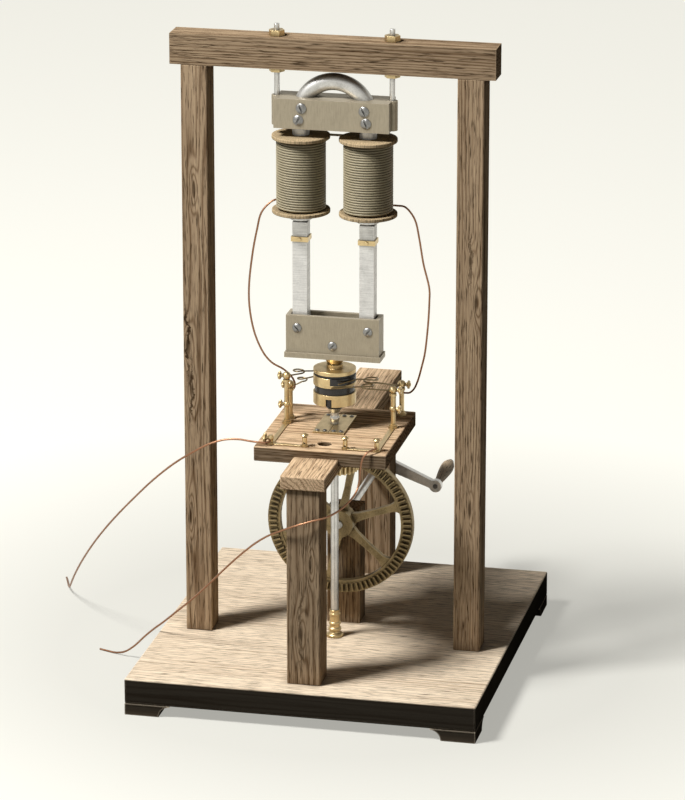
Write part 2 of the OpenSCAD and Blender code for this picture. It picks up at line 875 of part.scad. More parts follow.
module pinion() {
    tip_w = tooth_thick - 2 * flank * addendum;
    root_w = tooth_thick + 2 * flank * dedendum;
    root_r = pinion_r - dedendum;
    color("gold")
        translate([0, spindle_y, pinion_z - face_w / 2])
            difference() {
                union() {
                    linear_extrude(face_w)
                        union() {
                            circle(r = root_r, $fn = 112);
                            for (i = [0 : pinion_teeth - 1])
                                rotate(90 + i * 360 / pinion_teeth)
                                    polygon([
                                        [root_r - 0.6, -root_w / 2], [root_r, -root_w / 2],
                                        [pinion_r + addendum, -tip_w / 2], [pinion_r + addendum, tip_w / 2],
                                        [root_r, root_w / 2], [root_r - 0.6, root_w / 2]
                                    ]);
                        }
                    translate([0, 0, face_w]) cylinder(h = 6, r = spindle_r + 5);
                }
                translate([0, 0, -1]) cylinder(h = face_w + 20, r = spindle_r);
            }
}

module magnet_outline(r) {
    circle(r = r, $fn = 96);
    translate([-r, 0]) square([2 * r, magnet_top - magnet_bend_z]);
}

module horseshoe_magnet() {
    color("lightsteelblue")
        translate([0, spindle_y + bar_d / 2, magnet_bend_z])
            rotate([90, 0, 0])
                linear_extrude(bar_d)
                    difference() {
                        magnet_outline(magnet_out);
                        magnet_outline(magnet_in);
                    }
}

module magnet_socket() {
    color("goldenrod")
        difference() {
            union() {
                block(socket_w, spindle_y - socket_d / 2, socket_d, socket_z, socket_h);
                block(socket_w + 3, spindle_y - socket_d / 2 - 1.5, socket_d + 3, socket_z, socket_base_t);
            }
            block(socket_w - 2 * socket_wall, spindle_y - bar_d / 2, bar_d, magnet_z, socket_h);
            rod(0, spindle_y, socket_z - 1, socket_base_t + 2, spindle_r);
            for (p = socket_screw_pos)
                rear_rod(p.x, spindle_y - socket_d / 2 - 1, socket_z + p.y, socket_wall + 1, 2);
        }
}

module socket_screws() {
    color("khaki")
        for (p = socket_screw_pos)
            translate([p.x, spindle_y - socket_d / 2, socket_z + p.y])
                slotted_screw(4.6, 2.2, 2, socket_wall, p.z);
}

module pole_bands() {
    color("khaki")
        for (s = [-1, 1]) {
            difference() {
                block(bar_w + 2 * band_t, spindle_y - bar_d / 2 - band_t, bar_d + 2 * band_t, band_z, band_h,
                      s * pole_x);
                block(bar_w, spindle_y - bar_d / 2, bar_d, band_z - 1, band_h + 2, s * pole_x);
            }
            rear_rod(s * pole_x, spindle_y - bar_d / 2 - band_t - 1.4, band_z + band_h / 2, 1.5, 1.7);
        }
}

// Commutator
module ring_part(z, h, from, sweep) {
    translate([0, spindle_y, z])
        rotate([0, 0, from])
            rotate_extrude(angle = sweep) translate([groove_r, 0]) square([ring_wall, h]);
}

module commutator_disc() {
    color("gold")
        translate([0, spindle_y, disc_z])
            rotate_extrude()
                polygon([
                    [spindle_r, 0], [ring_r, 0], [ring_r, disc_h], [8.2, disc_h], [8.2, disc_h + boss_h],
                    [6.8, disc_h + boss_h], [11, disc_h + boss_h + collar_h],
                    [spindle_r, disc_h + boss_h + collar_h]
                ]);
}

module commutator_core() {
    color("black") {
        translate([0, spindle_y, 0])
            rotate_extrude()
                polygon([
                    [spindle_r, neck_z], [neck_r, neck_z], [neck_r, drum_z], [groove_r, drum_z],
                    [groove_r, disc_z], [spindle_r, disc_z]
                ]);
        ring_part(ring_z + ring_strip_h, ring_h - ring_strip_h, -90, 180);
    }
}

module commutator_segments() {
    color("gold") {
        ring_part(ring_z, ring_strip_h, 0, 360);
        ring_part(ring_z + ring_strip_h - eps, ring_h - ring_strip_h + eps, 90, 180);
    }
}

module contact_drum() {
    color("gold")
        difference() {
            ring_part(drum_z, drum_h, 0, 360);
            block(drum_slot_w, spindle_y - ring_r - 1, ring_r, drum_z - 1, drum_h - 3, -1.5);
        }
}

base_board();
base_feet();
left_upright();
right_upright();
cross_beam();
bearer_plank();
front_post();
rear_post();
axle_pedestal();
contact_table();
suspension_rods();
suspension_nuts();
clamp_plates();
clamp_end_blocks();
clamp_screws();
electromagnet_core();
pole_shoes();
left_bobbin();
right_bobbin();
left_winding();
right_winding();
bearing_plates();
bearing_plate_screws();
footstep_bearing();
axle_bushes();
brush_posts();
left_brush_springs();
right_brush_springs();
contact_strips();
terminal_posts();
coil_wire_left();
coil_wire_right();
lead_left();
lead_right();
terminal_screw_1();
terminal_screw_2();
terminal_screw_3();
terminal_screw_4();
brush_screw_1();
brush_screw_2();
brush_screw_3();
brush_screw_4();
brush_screw_5();
brush_screw_6();
axle();
crown_wheel();
crank_arm();
crank_pin();
crank_grip();
spindle();
pinion();
horseshoe_magnet();
magnet_socket();
socket_screws();
pole_bands();
commutator_disc();
commutator_core();
commutator_segments();
contact_drum();
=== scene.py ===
import json
import math

import bmesh
import bpy
from mathutils import Matrix, Vector


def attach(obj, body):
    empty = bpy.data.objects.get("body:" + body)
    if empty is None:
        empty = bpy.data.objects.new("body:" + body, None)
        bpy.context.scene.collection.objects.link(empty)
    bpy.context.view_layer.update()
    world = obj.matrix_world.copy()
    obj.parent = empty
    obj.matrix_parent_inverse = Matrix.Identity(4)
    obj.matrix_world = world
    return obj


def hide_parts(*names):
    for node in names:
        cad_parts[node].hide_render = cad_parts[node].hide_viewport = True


bl_info = {
    "name": "Magneto-electric machine",
    "version": (1, 0, 0),
    "blender": (4, 5, 0),
    "location": "View3D > Sidebar > Machine",
    "description": "Finishes the packed magneto-electric machine: wood, metal, coils and wires",
    "category": "Object",
}

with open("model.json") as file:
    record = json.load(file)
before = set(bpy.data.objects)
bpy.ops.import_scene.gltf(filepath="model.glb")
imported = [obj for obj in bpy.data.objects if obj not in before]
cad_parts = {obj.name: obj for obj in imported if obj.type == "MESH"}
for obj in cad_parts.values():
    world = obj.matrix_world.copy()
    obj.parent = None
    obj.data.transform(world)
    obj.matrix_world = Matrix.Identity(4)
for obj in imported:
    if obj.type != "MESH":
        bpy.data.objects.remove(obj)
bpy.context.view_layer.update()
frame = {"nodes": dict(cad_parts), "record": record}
MM = 0.001

# Places shared with the part's source, in millimetres
SPINDLE_Y = -71.0
BASE_TOP = 38.0
PLANK_TOP = 242.0
TABLE_TOP = 264.0
POLE_X = 34.0
RING_R = 21.5
TERMINAL_Y = SPINDLE_Y - 73.0
WIND_R = 23.6
WIND_TAIL = 20.0
WIND_LOW = 489.5
WIND_HIGH = 558.3
WIRE_D = 2.0

# Brush posts: X, distance behind the spindle, head height, spring level, radius of the spring's curl,
# its distance from the post, and the spring's length past the ring
BRUSHES = [
    (-48.5, -4, 50, 51.5, 5.6, 15, 9),
    (-48.5, 12, 36, 46.5, 4.8, 12, 9),
    (59, 4, 40, 46, 6.2, 25, 9),
    (59, 46, 33, 51.5, 7.2, 36, 16),
]
HEAD_R = 4.2
PASS_GAP = 0.4
SPRING_D = 1.5
SPRING_START = 2.0
SPRING_RUN = 10.0
CURL_RISE = 2.6

# Thumbscrews: heights above the table, radii of the bosses that hold them and of their discs, how far
# from the post's middle the shank begins, and the share of the rim's radius at the bottom of a knurl
LOWER_SCREW_H = 20.0
TERMINAL_SCREW_H = 6.6
LOWER_BOSS_R = 3.6
TERMINAL_BOSS_R = 3.0
BRUSH_DISC_R = 4.3
TERMINAL_DISC_R = 4.9
SHANK_START = 1.0
SHANK_R = 1.4
NECK_R = 2.2
RIM_CHAMFER = 0.6
KNURL_FLOOR = 0.94
KNURL_MATCH = 0.05

# Points for each turn of a coil, each curl of a spring and each stretch of a wire, and a wire's roundness
COIL_STEPS = 40
CURL_STEPS = 36
ROUTE_STEPS = 5
WIRE_ROUND = 3

# Merging and shading of the finished solids
SOLID_MERGE = 0.004 * MM
TURNED_MERGE = 0.002 * MM
FLAT_ANGLE = math.radians(0.5)
SHARP_ANGLE = math.radians(38)
TURNED_SHARP_ANGLE = math.radians(35)
EASE_SEGMENTS = 2

# Middle lines of the free wires, and what each one ends at
ROUTES = {
    "coil_wire_left": [
        (-54, -47.4, 489.5), (-58, -47.4, 489.5), (-68, -51, 488), (-78, -56, 477), (-82, -59, 460),
        (-86, -62, 436), (-89, -65, 405), (-88.5, -66, 380), (-84, -65.5, 355), (-76, -64.5, 335),
        (-67, -62.5, 323), (-56, -59.5, 316), (-49, -55, 308), (-46, -51, 300), (-46.5, -49, 294),
        (-48.5, -50, 291.5), (-48.5, -53, 291), (-48.5, -56.5, 291),
    ],
    "coil_wire_right": [
        (54, -47.4, 489.5), (58, -47.4, 489.5), (68, -51, 489), (78, -55, 478), (83, -58, 460),
        (88, -61, 435), (94, -62, 412), (94, -60, 396), (92, -56, 371), (88, -50, 341),
        (83, -43, 322), (78, -36, 306), (73, -30, 295), (68, -26.5, 289.3), (64, -25, 288),
        (61.5, -25, 288),
    ],
    "lead_left": [
        (-48.5, -146.4, 268.2), (-48.9, -149.6, 268.2), (-52, -152.2, 268), (-58, -153, 268),
        (-68, -152.5, 268.5), (-80, -151.5, 269.2), (-94, -151, 267.6), (-110, -151.5, 262),
        (-127, -151, 252), (-145, -146, 239), (-162, -138, 224), (-180, -126, 206), (-200, -110, 184),
        (-221, -90, 160), (-243, -66, 133), (-264, -38, 105), (-284, -6, 76), (-302, 28, 48),
        (-316, 60, 25), (-326, 86, 9), (-333, 106, 2), (-338, 120, 1.2), (-343, 133, 1.2),
    ],
    "lead_right": [
        (59, -146.4, 268.2), (58.5, -150, 268.4), (55.5, -155, 268.2), (51.5, -158.5, 266),
        (48, -161, 260), (46.5, -163, 251), (46, -165.5, 240), (44.5, -171, 230.5), (40, -182, 223.5),
        (33, -197, 218.5), (23.5, -211, 215.5), (9, -217, 212), (-6, -219, 207), (-21, -216, 200),
        (-36, -209, 191), (-52, -198, 178), (-70, -183, 160), (-90, -165, 138), (-112, -148, 113),
        (-134, -132, 89), (-154, -118, 69), (-170, -107, 53), (-183, -99, 41), (-195, -92, 29),
        (-207, -86, 16), (-219, -80, 6), (-230, -75, 1.8), (-240, -71, 1.2), (-250, -67, 1.2),
    ],
}

# Knots of the uprights and the front post: middle and reach in millimetres, and how far each has split
KNOTS = [
    ((-148, -85, 342), (6, 9, 24), 1.0),
    ((-144, -85, 296), (5, 9, 22), 0.9),
    ((-140, -85, 505), (4, 9, 22), 0.0),
    ((-147, -85, 160), (4, 9, 24), 0.0),
    ((140, -85, 448), (5, 9, 18), 0.6),
    ((146, -85, 405), (5, 9, 22), 0.0),
    ((141, -85, 190), (4, 9, 26), 0.0),
    ((-3, -212, 92), (6, 9, 26), 0.5),
    ((7, -212, 165), (4, 9, 20), 0.0),
]

# Woods: colour settings with a share of each, grain axis, pitch of the growth lines in millimetres, the
# tree's middle in metres, the top below which the edges are stained and given painted shade, and how
# strongly
WOODS = {
    "upright_wood": dict(light=("frame_light", 1.0), dark=("frame_dark", 1.0), grain="Z", knots=KNOTS),
    # A darker copy of the uprights' wood for the posts that stand in shade: painted shade
    "post_wood": dict(light=("frame_light", 0.82), dark=("frame_dark", 0.82), grain="Z", knots=KNOTS),
    "beam_wood": dict(light=("frame_light", 0.85), dark=("frame_dark", 0.85), grain="X", pitch=3.2,
                      pith=(0.05, 0.17)),
    "plank_wood": dict(light=("frame_light", 1.6), dark=("frame_dark", 1.7), grain="Y", pitch=3.4,
                       pith=(0.16, 0.05), top=PLANK_TOP, stain=0.55),
    "table_wood": dict(light=("frame_light", 1.6), dark=("frame_dark", 1.7), grain="X", pitch=4.2,
                       pith=(0.05, 0.2), top=TABLE_TOP, stain=0.68),
    "base_wood": dict(light=("base_light", 1.0), dark=("base_dark", 1.0), grain="X", pitch=5.0,
                      pith=(0.07, 0.26), top=BASE_TOP, stain=1.0),
    "bobbin_wood": dict(light=("box_wood", 1.0), dark=("box_wood", 0.45), grain="Z", pitch=2.4),
    "grip_wood": dict(light=("grip", 1.0), dark=("grip", 0.6), grain="Y", pitch=2.6, coat=0.2),
}

# Stretch of the tool lines on upright and on level faces
UPRIGHT_LINES = (1, 1, 0.06)
LEVEL_LINES = (0.04, 0.04, 1)

# Metals and other hard finishes: colour setting, shares of it where bright and where dull, amount of
# tarnish, roughness where polished, strength of the tool lines and reach of the grime and painted corner
# shade in millimetres
METALS = {
    "brass": dict(colour="brass", dull=0.30, amount=0.50, polish=0.28),
    "cast_brass": dict(colour="brass", bright=0.52, dull=0.12, amount=0.75, polish=0.40),
    "spring_brass": dict(colour="brass", bright=0.34, dull=0.10, amount=0.5, polish=0.30),
    "bronze": dict(colour="bronze", dull=0.40, amount=0.20, polish=0.36, metallic=0.45, tooling=0.26,
                   squeeze=UPRIGHT_LINES),
    "screw_steel": dict(colour="steel", bright=0.40, dull=0.05, amount=0.35, polish=0.34),
    # Darker steel for the crank pin, standing for the shaded centre of the crank's eye: painted shade
    "dark_steel": dict(colour="steel", bright=0.22, dull=0.06, amount=0.4, polish=0.34),
    "steel": dict(colour="steel", dull=0.25, amount=0.45, polish=0.28),
    "magnet_steel": dict(colour="steel", bright=1.08, dull=0.4, amount=0.35, polish=0.42, metallic=0.7,
                         tooling=0.3, squeeze=LEVEL_LINES),
    "iron": dict(colour="iron", dull=0.3, amount=0.6, polish=0.36),
    "copper": dict(colour="copper", dull=0.35, amount=0.6, polish=0.30),
    "silk": dict(colour="silk", dull=0.12, amount=0.35, polish=0.50, metallic=0.0, reach=1.6),
    "insulator": dict(colour="insulator", dull=0.5, amount=0.3, polish=0.16, metallic=0.0),
}

# Finish of each wooden solid, with its share of the wood edge's rounding
WOODWORK = {
    "upright_wood": (("left_upright", "right_upright"), 1.0),
    "post_wood": (("front_post", "rear_post", "axle_pedestal"), 1.0),
    "beam_wood": (("cross_beam",), 1.0),
    "plank_wood": (("bearer_plank",), 1.0),
    "table_wood": (("contact_table",), 1.0),
    "base_wood": (("base_board", "base_feet"), 1.3),
    "bobbin_wood": (("left_bobbin", "right_bobbin"), 0.6),
    "grip_wood": (("crank_grip",), 0.3),
}

# Finish of each other solid that is dressed
METALWORK = {
    "brass": ("suspension_nuts", "bearing_plates", "footstep_bearing", "axle_bushes", "brush_posts",
              "contact_strips", "terminal_posts", "terminal_screw_2", "terminal_screw_3",
              "terminal_screw_4", "pinion", "pole_bands", "commutator_disc", "commutator_segments",
              "contact_drum"),
    "bronze": ("clamp_plates", "clamp_end_blocks", "magnet_socket"),
    "screw_steel": ("clamp_screws", "socket_screws", "bearing_plate_screws"),
    "cast_brass": ("crown_wheel",),
    "steel": ("suspension_rods", "axle", "spindle", "crank_arm"),
    "dark_steel": ("crank_pin",),
    "magnet_steel": ("horseshoe_magnet",),
    "iron": ("electromagnet_core", "pole_shoes"),
    "insulator": ("commutator_core",),
}

# Wood figure: bends of the growth lines in metres, their contrast and the shares of what darkens them
SWAY = 0.022
UNEVEN = 0.005
KNOT_BEND = 0.012
LINE_CONTRAST = 2.4
LINE_FADE = 0.75
LINE_KEEP = 0.45
LINE_SHARE = 0.50
STREAK_SHARE = 0.30
FIBRE_SHARE = 0.28
PORE_SHARE = 0.85
PORE_DARK = 0.72
HEART_SHARE = 0.92
# Darkening of the sides below the top: stain and painted shade
STAIN_AND_SHADE_DARK = 0.96
STAIN_AND_SHADE_FROM = 0.4 * MM
STAIN_AND_SHADE_TO = 1.6 * MM
# Creases and corners darkened by occlusion: grime and painted shade
WOOD_GRIME_AND_SHADE = 0.75
# Outer edges lightened: rubbed wear and a painted highlight
WOOD_RUB_AND_HIGHLIGHT = 0.45
WOOD_ROUGH = 0.54
WOOD_ROUGH_GAIN = 0.22
WOOD_RUB_SHINE = 0.3
WOOD_LOW_LINES = -0.45
WOOD_LOW_PORES = -0.55
WOOD_LOW_HEART = 0.5

# Knots: darkness of the heart, how far the split wanders and how wide it gapes
HEART_DARK = 0.8
SPLIT_WANDER = 4.2
SPLIT_GAPE = 0.42

# Wood in a material: stretch along the grain, reach of the grime and painted corner shade, relief and
# varnish
GRAIN_STRETCH = 0.045
WOOD_REACH = 12.0
WOOD_BUMP = 0.35
WOOD_BUMP_DEPTH = 0.5 * MM
VARNISH_ROUGH = 0.28

# Aged metal: shares of clouds, flecks, grime with painted corner shade and rubbed edges, and what they
# add to the surface
CLOUD_SHARE = 0.6
FLECK_SHARE = 0.4
METAL_RUB = 0.75
METAL_GRIME_AND_SHADE = 0.95
TARNISH_ROUGH = 0.28
TOOL_ROUGH = 0.08
TOOL_RELIEF = 0.6
CLOUD_RELIEF = 0.4
METAL_BUMP = 0.15
METAL_BUMP_DEPTH = 0.2 * MM

# Corner shade and wear: depth of the rubbed edges in metres, and rays for each mask; the crease mask is
# painted shade
EDGE_DEPTH = 1.6 * MM
CREASE_RAYS = 6
EDGE_RAYS = 4

# Stage: floor tones, the floor's glow near the machine, kept low as painted shade, and what distance
# adds, sky, lamps and camera
FLOOR_REACH = 14.0
FLOOR_MATTE = 0.24
FLOOR_SHADED = 0.36
SHADED_GLOW_NEAR = 0.41
GLOW_GAIN = 0.33
GLOW_FROM = 0.30
GLOW_TO = 0.75
SKY_LIGHT = (1.0, 0.98, 0.94, 1)
SKY_OVERHEAD = (0.30, 0.295, 0.28, 1)
SKY_FROM = 0.12
SKY_TO = 0.75
KEY_PLACE = (-1.5, -1.3, 3.0)
KEY_SIZE = 0.85
FILL_PLACE = (2.4, -1.6, 1.2)
FILL_SIZE = 1.8
LAMP_AIM = (0, -0.05, 0.3)
SENSOR_HEIGHT = 36.0
CLIP_END = 60.0

# Sockets of the shader groups and of the colour mix
FLOAT = "NodeSocketFloat"
COLOUR = "NodeSocketColor"
VECTOR = "NodeSocketVector"
MIX_FACTOR = 0
MIX_FIRST = 6
MIX_SECOND = 7
MIX_RESULT = 2
BLACK = (0.0, 0.0, 0.0, 1.0)
NOISE_MIDDLE = 0.5

# Turns that bring the grain of a board to Z
GRAIN_TURN = {"X": (0, -math.pi / 2, 0), "Y": (math.pi / 2, 0, 0), "Z": (0, 0, 0)}


class MachineFinish(bpy.types.PropertyGroup):
    """Colours of the machine's materials"""

    frame_light: bpy.props.FloatVectorProperty(
        name="Frame wood, light", description="Pale streaks of the uprights, posts and table",
        subtype="COLOR", default=(0.54, 0.395, 0.25))
    frame_dark: bpy.props.FloatVectorProperty(
        name="Frame wood, dark", description="Dark lines of the uprights, posts and table",
        subtype="COLOR", default=(0.135, 0.075, 0.036))
    base_light: bpy.props.FloatVectorProperty(
        name="Base wood, light", description="Pale streaks of the base board's top", subtype="COLOR",
        default=(0.96, 0.81, 0.61))
    # Its stained edges also stand for shade on the base's sides: painted shade
    base_dark: bpy.props.FloatVectorProperty(
        name="Base wood, dark", description="Dark lines of the base and its stained edges",
        subtype="COLOR", default=(0.50, 0.37, 0.25))
    box_wood: bpy.props.FloatVectorProperty(
        name="Box wood", description="Pale turned wood of the bobbins", subtype="COLOR",
        default=(0.62, 0.47, 0.28))
    grip: bpy.props.FloatVectorProperty(
        name="Grip wood", description="Turned wood of the crank grip", subtype="COLOR",
        default=(0.74, 0.56, 0.37))
    brass: bpy.props.FloatVectorProperty(
        name="Brass", description="Lacquered brass fittings", subtype="COLOR",
        default=(0.68, 0.52, 0.28))
    bronze: bpy.props.FloatVectorProperty(
        name="Bronzed brass", description="Dull bronzed clamp and magnet socket", subtype="COLOR",
        default=(0.42, 0.36, 0.26))
    steel: bpy.props.FloatVectorProperty(
        name="Steel", description="Ground steel of the magnet and shafts", subtype="COLOR",
        default=(0.72, 0.71, 0.69))
    iron: bpy.props.FloatVectorProperty(
        name="Iron", description="Soft iron of the core", subtype="COLOR",
        default=(0.64, 0.63, 0.61))
    silk: bpy.props.FloatVectorProperty(
        name="Covered wire", description="Silk covering of the coil wire", subtype="COLOR",
        default=(0.40, 0.34, 0.215))
    copper: bpy.props.FloatVectorProperty(
        name="Copper", description="Bare wire", subtype="COLOR", default=(0.34, 0.175, 0.10))
    insulator: bpy.props.FloatVectorProperty(
        name="Insulator", description="Black core of the commutator", subtype="COLOR",
        default=(0.016, 0.014, 0.013))


class MachineSizes(bpy.types.PropertyGroup):
    """Sizes that a user may change without touching the solids"""

    wood_ease: bpy.props.FloatProperty(
        name="Wood edge", description="Rounding of the wooden edges", default=1.1 * MM, unit="LENGTH")
    metal_ease: bpy.props.FloatProperty(
        name="Metal edge", description="Rounding of the metal edges", default=0.3 * MM, unit="LENGTH")
    coil_turns: bpy.props.IntProperty(
        name="Turns", description="Turns shown on each coil", default=27, min=24, max=40)
    coil_wire: bpy.props.FloatProperty(
        name="Coil wire", description="Diameter of the covered wire", default=2.5 * MM, unit="LENGTH")
    knurls: bpy.props.IntProperty(
        name="Knurls", description="Notches round a thumbscrew", default=30, min=12, max=60)


class StageSettings(bpy.types.PropertyGroup):
    """Camera, floor and light"""

    azimuth: bpy.props.FloatProperty(
        name="Azimuth", description="Camera's turn to the right", default=math.radians(12.6),
        subtype="ANGLE")
    elevation: bpy.props.FloatProperty(
        name="Elevation", description="Camera's height above level", default=math.radians(17.8),
        subtype="ANGLE")
    distance: bpy.props.FloatProperty(
        name="Distance", description="Camera to target", default=4.5, unit="LENGTH")
    lens: bpy.props.FloatProperty(
        name="Lens", description="Focal length for a 36 mm high picture", default=202.0)
    target: bpy.props.FloatVectorProperty(
        name="Target", description="Place in the middle of the picture", subtype="TRANSLATION",
        default=(0.008, -0.071, 0.291))
    paper: bpy.props.FloatVectorProperty(
        name="Floor", description="Pale floor and surroundings", subtype="COLOR",
        default=(1.0, 0.985, 0.90))
    key: bpy.props.FloatProperty(
        name="Key light", description="Power of the soft key light", default=165.0)
    fill: bpy.props.FloatProperty(
        name="Fill light", description="Power of the soft fill light", default=0.5)
    sky: bpy.props.FloatProperty(
        name="Surroundings", description="Strength of the even light", default=0.07)


# Shader helpers

def new_group(name, inputs, outputs):
    """A shader group with its named sockets; returns the tree, its inputs and its outputs."""
    tree = bpy.data.node_groups.new(name, "ShaderNodeTree")
    for label, kind, default in inputs:
        socket = tree.interface.new_socket(label, in_out="INPUT", socket_type=kind)
        if default is not None:
            socket.default_value = default
    for label, kind in outputs:
        tree.interface.new_socket(label, in_out="OUTPUT", socket_type=kind)
    return tree, tree.nodes.new("NodeGroupInput"), tree.nodes.new("NodeGroupOutput")


def shared_group(name, build):
    """The group of that name, built at its first use."""
    return bpy.data.node_groups.get(name) or build()


def add_node(tree, kind, **settings):
    """A new node with its settings."""
    node = tree.nodes.new(kind)
    for key, value in settings.items():
        setattr(node, key, value)
    return node


def set_inputs(node, values):
    """Plain values on a node's named sockets."""
    for label, value in values.items():
        node.inputs[label].default_value = value


def feed(tree, slot, value):
    """Links a socket to another one, or gives it a plain value."""
    if isinstance(value, bpy.types.NodeSocket):
        tree.links.new(value, slot)
    else:
        slot.default_value = value


def math_node(tree, operation, a, b=0.0):
    """Arithmetic on values."""
    node = add_node(tree, "ShaderNodeMath", operation=operation)
    feed(tree, node.inputs[0], a)
    feed(tree, node.inputs[1], b)
    return node.outputs[0]


def plus(tree, a, b):
    return math_node(tree, "ADD", a, b)


def minus(tree, a, b):
    return math_node(tree, "SUBTRACT", a, b)


def times(tree, a, b):
    return math_node(tree, "MULTIPLY", a, b)


def vector_node(tree, operation, a, b=(0, 0, 0)):
    """Arithmetic on vectors; LENGTH gives a value and the others a vector."""
    node = add_node(tree, "ShaderNodeVectorMath", operation=operation)
    feed(tree, node.inputs[0], a)
    feed(tree, node.inputs[1], b)
    return node.outputs["Value" if operation == "LENGTH" else "Vector"]


def mix_colour(tree, factor, a, b):
    """One colour at a factor of 0 and the other at 1."""
    node = add_node(tree, "ShaderNodeMix", data_type="RGBA")
    feed(tree, node.inputs[MIX_FACTOR], factor)
    feed(tree, node.inputs[MIX_FIRST], a)
    feed(tree, node.inputs[MIX_SECOND], b)
    return node.outputs[MIX_RESULT]


def noise(tree, vector, scale, detail=4.0, roughness=0.55):
    """Soft noise between 0 and 1."""
    node = add_node(tree, "ShaderNodeTexNoise")
    set_inputs(node, {"Scale": scale, "Detail": detail, "Roughness": roughness})
    tree.links.new(vector, node.inputs["Vector"])
    return node.outputs["Fac"]


def stretch(tree, value, low, high):
    """0 at the low end and 1 at the high one, held beyond them."""
    node = add_node(tree, "ShaderNodeMapRange", clamp=True)
    tree.links.new(value, node.inputs["Value"])
    set_inputs(node, {"From Min": low, "From Max": high})
    return node.outputs["Result"]


def split_vector(tree, vector):
    """The X, Y and Z of a vector."""
    node = add_node(tree, "ShaderNodeSeparateXYZ")
    tree.links.new(vector, node.inputs["Vector"])
    return node.outputs


# Shader groups

def shade_and_wear_group():
    """Masks of the inner corners, for grime and painted shade, and of the outer edges that hands rub."""
    tree, given, out = new_group(
        "Corner wear", [("Reach", FLOAT, 0.006)], [("Crease", FLOAT), ("Edge", FLOAT)])
    # Occlusion within the reach darkens creases and gaps between parts: painted shade
    crease = add_node(tree, "ShaderNodeAmbientOcclusion", samples=CREASE_RAYS)
    tree.links.new(given.outputs["Reach"], crease.inputs["Distance"])
    tree.links.new(minus(tree, 1.0, crease.outputs["AO"]), out.inputs["Crease"])
    edge = add_node(tree, "ShaderNodeAmbientOcclusion", samples=EDGE_RAYS, inside=True, only_local=True)
    edge.inputs["Distance"].default_value = EDGE_DEPTH
    rubbed_and_highlight = stretch(tree, minus(tree, 1.0, edge.outputs["AO"]), low=0.12, high=0.5)
    tree.links.new(rubbed_and_highlight, out.inputs["Edge"])
    return tree


def knot_group():
    """One knot: a bulge that bends the growth lines round it, its dark heart and a ragged split."""
    tree, given, out = new_group(
        "Wood knot",
        [("Place", VECTOR, None), ("Centre", VECTOR, (0, 0, 0)), ("Reach", VECTOR, (1, 1, 1)),
         ("Split", FLOAT, 0.0)],
        [("Bulge", FLOAT), ("Heart", FLOAT)])
    place = given.outputs["Place"]
    away = vector_node(tree, "SUBTRACT", place, given.outputs["Centre"])
    share = vector_node(tree, "DIVIDE", away, given.outputs["Reach"])
    part = split_vector(tree, share)
    far = vector_node(tree, "LENGTH", share)
    fall = times(tree, times(tree, far, far), -1.0)
    tree.links.new(math_node(tree, "POWER", math.e, fall), out.inputs["Bulge"])
    heart = times(tree, stretch(tree, far, low=0.50, high=0.18), HEART_DARK)
    along = vector_node(tree, "MULTIPLY", place, (0.5, 0.5, 1))
    wander = minus(tree, noise(tree, along, scale=48.0, detail=5.0, roughness=0.68), NOISE_MIDDLE)
    wander = plus(tree, times(tree, wander, SPLIT_WANDER), part["X"])
    gape = minus(tree, noise(tree, along, scale=130.0, detail=2.0), SPLIT_GAPE)
    line = minus(tree, gape, math_node(tree, "ABSOLUTE", wander))
    line = stretch(tree, line, low=-0.22, high=0.02)
    ends = stretch(tree, math_node(tree, "ABSOLUTE", part["Z"]), low=1.9, high=1.2)
    near = math_node(tree, "LESS_THAN", math_node(tree, "ABSOLUTE", part["Y"]), 1.0)
    split = times(tree, times(tree, line, ends), given.outputs["Split"])
    split = times(tree, split, near)
    tree.links.new(math_node(tree, "MAXIMUM", heart, split), out.inputs["Heart"])
    return tree


